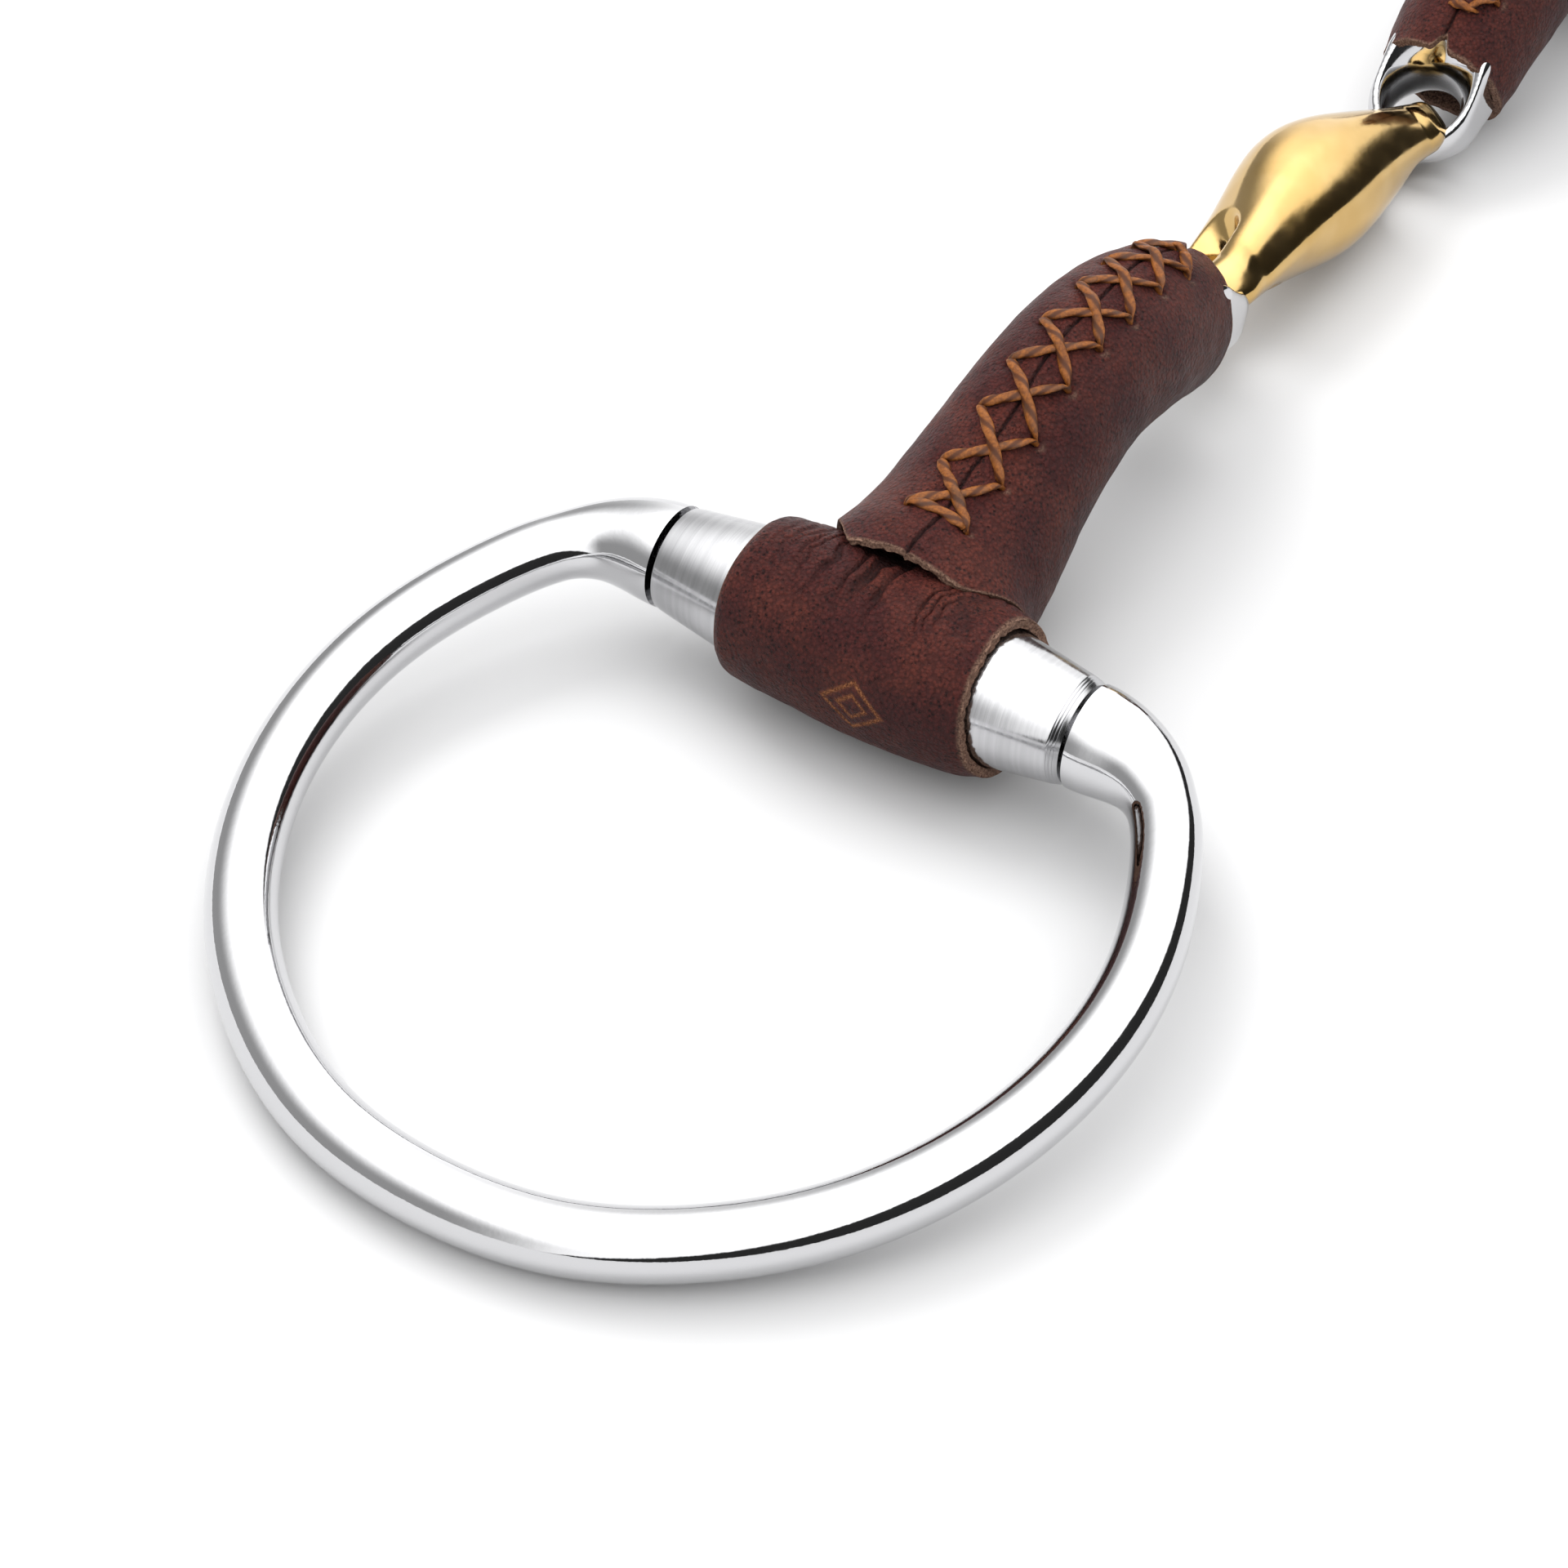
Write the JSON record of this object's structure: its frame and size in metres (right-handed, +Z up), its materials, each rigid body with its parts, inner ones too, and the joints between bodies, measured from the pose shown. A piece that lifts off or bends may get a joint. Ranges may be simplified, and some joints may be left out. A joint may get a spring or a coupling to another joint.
{
  "type": "eggbutt snaffle bit",
  "caption": "Leather-covered double-jointed eggbutt snaffle bit with hinged rounded cheek rings and an almond-shaped brass centre link.",
  "frame": {"origin": "under the middle of the centre link, on the surface the bit lies on", "axes": "+X along the mouthpiece towards the right cheek ring, +Y along the cheek barrels, +Z up from the surface the bit lies on"},
  "size_m": [0.2594, 0.0752, 0.0221],
  "materials": {
    "steel": "polished stainless steel",
    "brass": "polished",
    "leather": "smooth grain, raw cut edges",
    "thread": "waxed"
  },
  "bodies": {
    "center_link": {"lozenge": "brass"},
    "left_arm": {"mouthpiece_arm_left": "steel", "barrel_wrap_left": "leather", "arm_sleeve_left": "leather", "sleeve_lacing_left": "thread"},
    "right_arm": {"mouthpiece_arm_right": "steel", "barrel_wrap_right": "leather", "arm_sleeve_right": "leather", "sleeve_lacing_right": "thread"},
    "left_ring": {"cheek_ring_left": "steel"},
    "right_ring": {"cheek_ring_right": "steel"}
  },
  "joints": [
    {"name": "left_link", "type": "hinge", "parent": "center_link", "child": "left_arm", "pos_m": [-0.0161, 0.0012, 0.0071], "axis": [0, 1, 0], "range_deg": [-22, 30]},
    {"name": "right_link", "type": "hinge", "parent": "center_link", "child": "right_arm", "pos_m": [0.01631, -0.0012, 0.0035], "axis": [0, -1, 0], "range_deg": [-45, 1]},
    {"name": "left_cheek", "type": "hinge", "parent": "left_arm", "child": "left_ring", "pos_m": [-0.069, 0.0012, 0.0084], "axis": [0, 1, 0], "range_deg": [-120, 120]},
    {"name": "right_cheek", "type": "hinge", "parent": "right_arm", "child": "right_ring", "pos_m": [0.069, -0.0012, 0.0084], "axis": [0, -1, 0], "range_deg": [-120, 120]}
  ]
}
